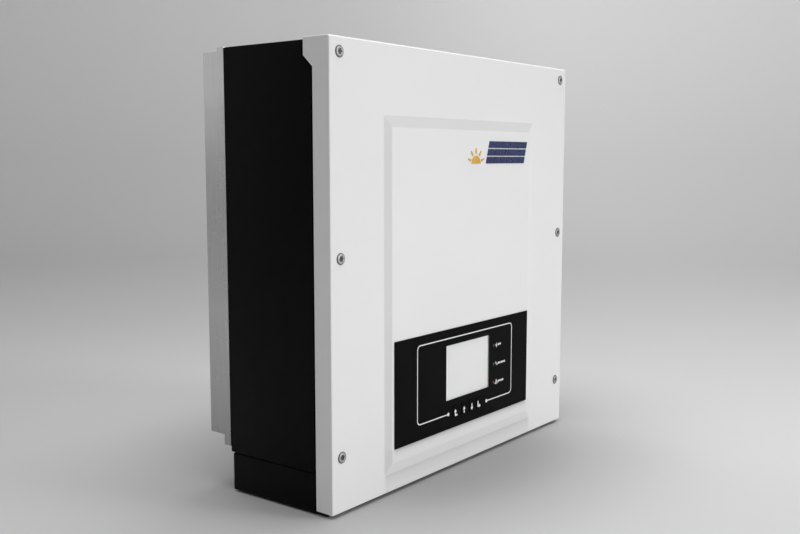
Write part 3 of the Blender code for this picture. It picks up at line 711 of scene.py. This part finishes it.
def knob_mark():
    """A white pointer line on the end of the isolator knob's grip; it turns with the knob."""
    from_middle, to_middle, half = 0.0165, 0.0040, 0.0008
    low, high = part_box("dc_switch_knob")
    x, y = (low.x + high.x) / 2, (low.y + high.y) / 2
    outline = rounded(x - from_middle, x - to_middle, y - half, y + half, 0.0007, 3)
    bottom = low.z - PRINT_LIFT
    bm = bmesh.new()
    loft(bm, [[(across, along, z) for across, along in outline]
              for z in (bottom, bottom + PRINT_DEPTH)])
    put("knob_pointer", bm, "white_print", body="dc_switch_knob")


BADGE_OUT, BADGE_SUNK = 0.0006, 0.00005     # in front of the boss, and into it
BADGE_BASE = 0.3275
PANEL_LEFT, PANEL_LEAN = 0.036, 0.30
PANEL_COLUMNS, PANEL_ROWS = 6, 3
CELL_WIDTH, CELL_HEIGHT, CELL_GAP = 0.0125, 0.0074, 0.0011
SUN_X, SUN_RADIUS, SUN_RAYS = 0.0165, 0.0085, 5
RAY = ((0.0108, 0.0012), (0.0165, 0.0007))  # distance from the sun's middle and half width, at each end


def solar_mark():
    """A generic badge in the boss's top right corner: a half sun beside a panel of cells."""
    front, back = FACE_Y - BOSS_RAISE - BADGE_OUT, FACE_Y - BOSS_RAISE - BADGE_SUNK
    bm = bmesh.new()
    for column in range(PANEL_COLUMNS):
        for row in range(PANEL_ROWS):
            low = BADGE_BASE + row * (CELL_HEIGHT + CELL_GAP)
            high = low + CELL_HEIGHT
            first = PANEL_LEFT + column * (CELL_WIDTH + CELL_GAP)
            last = first + CELL_WIDTH
            corners = ((first, low), (last, low), (last, high), (first, high))
            plate(bm, [(x + PANEL_LEAN * (z - BADGE_BASE), z) for x, z in corners], front, back)
    put("panel_badge", bm, "navy_print")

    bm = bmesh.new()
    plate(bm, arc((SUN_X, BADGE_BASE), SUN_RADIUS, 0, 180, 24), front, back)
    for ray in range(SUN_RAYS):
        a = math.radians(180 / SUN_RAYS * (ray + 0.5))
        along, across = Vector((math.cos(a), math.sin(a))), Vector((-math.sin(a), math.cos(a)))
        (near, near_half), (far, far_half) = RAY
        points = [along * near - across * near_half, along * far - across * far_half,
                  along * far + across * far_half, along * near + across * near_half]
        plate(bm, [(SUN_X + p.x, BADGE_BASE + p.y) for p in points], front, back)
    put("sun_badge", bm, "amber_print")


# Heat sink

PLATE_BACK = FACE_Y + 0.1461                # where the sink's plate ends and its fins start
FINS = 43
FIN_ROOT, FIN_TIP, FIN_TAPER = 0.0026, 0.0018, 0.0001
FILLET = ((0.0012, 0.0), (0.0003, 0.0004), (0.0, 0.0012))    # off the fin's side, and up it
FINS_LOW, FINS_HIGH = 0.055, 0.436
HOOK_SIDES, HOOK_ENDS = 0.006, 0.008        # room round each hook
BEYOND, ABOVE = 0.3, 0.5                    # further out than any fin, and higher


def heat_sink():
    """The extrusion with tapered, round-tipped fins, cut back for the two wall hooks."""
    low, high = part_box("heat_sink")
    pitch = (high.x - low.x - FIN_ROOT) / (FINS - 1)
    root, half = FIN_ROOT / 2, FIN_TIP / 2
    tip = high.y - half
    comb = [(high.x, low.y), (low.x, low.y)]
    for fin in range(FINS):
        middle = low.x + root + fin * pitch
        if fin > 0:
            comb += [(middle - root - off, PLATE_BACK + up) for off, up in FILLET]
        comb.append((middle - half - FIN_TAPER, tip))
        comb += [(middle - half * math.cos(a), tip + half * math.sin(a))
                 for a in (math.radians(30 * i) for i in range(1, 6))]
        comb.append((middle + half + FIN_TAPER, tip))
        if fin < FINS - 1:
            comb += [(middle + root + off, PLATE_BACK + up) for off, up in reversed(FILLET)]
    bm = bmesh.new()
    loft(bm, [[(x, y, z) for x, y in comb] for z in (low.z, high.z)])
    sink = put("fin_block", bm, "bare_aluminium", stands_for=["heat_sink"])

    bm = bmesh.new()
    cuts = [(-BEYOND, BEYOND, 0.0, FINS_LOW), (-BEYOND, BEYOND, FINS_HIGH, ABOVE)]
    for name in ("hanger_left", "hanger_right"):
        hook_low, hook_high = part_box(name)
        cuts.append((hook_low.x - HOOK_SIDES, hook_high.x + HOOK_SIDES,
                     hook_low.z - HOOK_ENDS, hook_high.z + HOOK_ENDS))
    for x_low, x_high, z_low, z_high in cuts:
        outline = [(x_low, z_low), (x_high, z_low), (x_high, z_high), (x_low, z_high)]
        plate(bm, outline, PLATE_BACK, BEYOND)
    cutter = show("fin_cutter", to_mesh("fin_cutter", bm))
    step = sink.modifiers.new("cut", "BOOLEAN")
    step.operation = "DIFFERENCE"
    step.object = cutter
    settle(sink, SINK_CREASE)
    bpy.data.objects.remove(cutter)


# CAD nodes that stay

JOIN = 0.000005                             # points closer than this are one
CAD_CREASE = 32.0
BEVELLED = 40.0                             # edges that turn by more than this are softened


def smooth_group():
    """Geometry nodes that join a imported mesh's faces and crease it by angle."""
    group = bpy.data.node_groups.new("smooth_faces", "GeometryNodeTree")
    group.interface.new_socket("Geometry", in_out="INPUT", socket_type="NodeSocketGeometry")
    group.interface.new_socket("Geometry", in_out="OUTPUT", socket_type="NodeSocketGeometry")
    nodes, links = group.nodes, group.links
    start, end = nodes.new("NodeGroupInput"), nodes.new("NodeGroupOutput")
    clear = nodes.new("GeometryNodeRemoveAttribute")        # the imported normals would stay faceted
    clear.inputs["Name"].default_value = "custom_normal"
    merge = nodes.new("GeometryNodeMergeByDistance")
    merge.inputs["Distance"].default_value = JOIN
    smooth = nodes.new("GeometryNodeSetShadeSmooth")
    angle = nodes.new("GeometryNodeInputMeshEdgeAngle")
    steep = nodes.new("FunctionNodeCompare")
    steep.inputs["B"].default_value = math.radians(CAD_CREASE)
    crease = nodes.new("GeometryNodeSetShadeSmooth")
    crease.domain = "EDGE"
    crease.inputs["Shade Smooth"].default_value = False
    links.new(start.outputs[0], clear.inputs["Geometry"])
    links.new(clear.outputs["Geometry"], merge.inputs["Geometry"])
    links.new(merge.outputs["Geometry"], smooth.inputs["Geometry"])
    links.new(smooth.outputs["Geometry"], crease.inputs["Geometry"])
    links.new(angle.outputs["Unsigned Angle"], steep.inputs["A"])
    links.new(steep.outputs["Result"], crease.inputs["Selection"])
    links.new(crease.outputs["Geometry"], end.inputs[0])
    return group


EDGE_WIDTHS = {"hanger_left": 0.0005, "hanger_right": 0.0005, "display_overlay": 0.00015,
               "key_back": 0.0002, "key_up": 0.0002, "key_down": 0.0002, "key_enter": 0.0002,
               "dc_switch_knob": 0.0005}


def carried_nodes():
    """Gives each CAD node that still shows its finish, its creases and its softened edges."""
    group = smooth_group()
    slots = {part["node"]: part["material_slot"] for part in frame["record"]["subparts"]}
    for name, node in NODES.items():
        if node.hide_render:
            continue
        finish = "key_black" if name.startswith("key_") else slots[name]
        node.data.materials.clear()
        node.data.materials.append(FINISHES[finish])
        node.modifiers.new("creases", "NODES").node_group = group
        if name in EDGE_WIDTHS:
            bevel = node.modifiers.new("edges", "BEVEL")
            bevel.width = EDGE_WIDTHS[name]
            bevel.segments = 2
            bevel.limit_method = "ANGLE"
            bevel.angle_limit = math.radians(BEVELLED)
            bevel.harden_normals = True


# Studio

def studio():
    """A pale floor that curves up into a low round backdrop, with a painted shadow round the middle
    where the object stands, and painted light to one side and higher up.
    """
    made = Finish("studio_grey", specular=0.1)
    away = made.node("ShaderNodeVectorMath", operation="LENGTH")
    made.wire(made.place, away.inputs[0])
    # Painted shadow close round the object, and painted light further out and up the backdrop.
    tone = made.follow(away.outputs["Value"], STUDIO_PAINTED_SHADE_AND_LIGHT, "B_SPLINE")
    # Painted light: lighter towards one side.
    across = made.node("ShaderNodeVectorMath", operation="DOT_PRODUCT")
    across.inputs[1].default_value = STUDIO_LIGHT_SIDE
    made.wire(made.place, across.inputs[0])
    side = made.follow(across.outputs["Value"], STUDIO_PAINTED_SIDE_LIGHT, "EASE")
    made.colour(made.times(tone, side))
    made.rough(made.span(made.noise(3.0), 0.65, 0.75))

    flat = STUDIO_RADIUS - STUDIO_SWEEP
    flat_steps, sweep_steps, round_steps = 6, 10, 72
    profile = [(flat * i / flat_steps, 0.0) for i in range(1, flat_steps + 1)]
    for i in range(1, sweep_steps + 1):
        a = math.radians(90 * i / sweep_steps)
        profile.append((flat + STUDIO_SWEEP * math.sin(a), STUDIO_SWEEP * (1 - math.cos(a))))
    profile.append((STUDIO_RADIUS, STUDIO_WALL))
    turns = [2 * math.pi * i / round_steps for i in range(round_steps)]
    bm = bmesh.new()
    loft(bm, [[(r * math.cos(a), r * math.sin(a), z) for a in turns] for r, z in profile], caps=False)
    bm.verts.ensure_lookup_table()
    centre = bm.verts.new((0.0, 0.0, 0.0))
    inner = bm.verts[:round_steps]
    for i in range(round_steps):
        bm.faces.new((centre, inner[i], inner[(i + 1) % round_steps]))
    mesh = to_mesh("studio", bm)
    if mesh.polygons[-1].normal.z < 0:      # the studio is seen from inside
        mesh.flip_normals()
    mesh.materials.append(made.material)
    mesh.shade_smooth()
    floor = show("studio", mesh)
    floor.location.z = -STUDIO_DROP


camera()
lights()
studio()
cover()
screws()
display()
key_marks()
knob_mark()
solar_mark()
heat_sink()
carried_nodes()
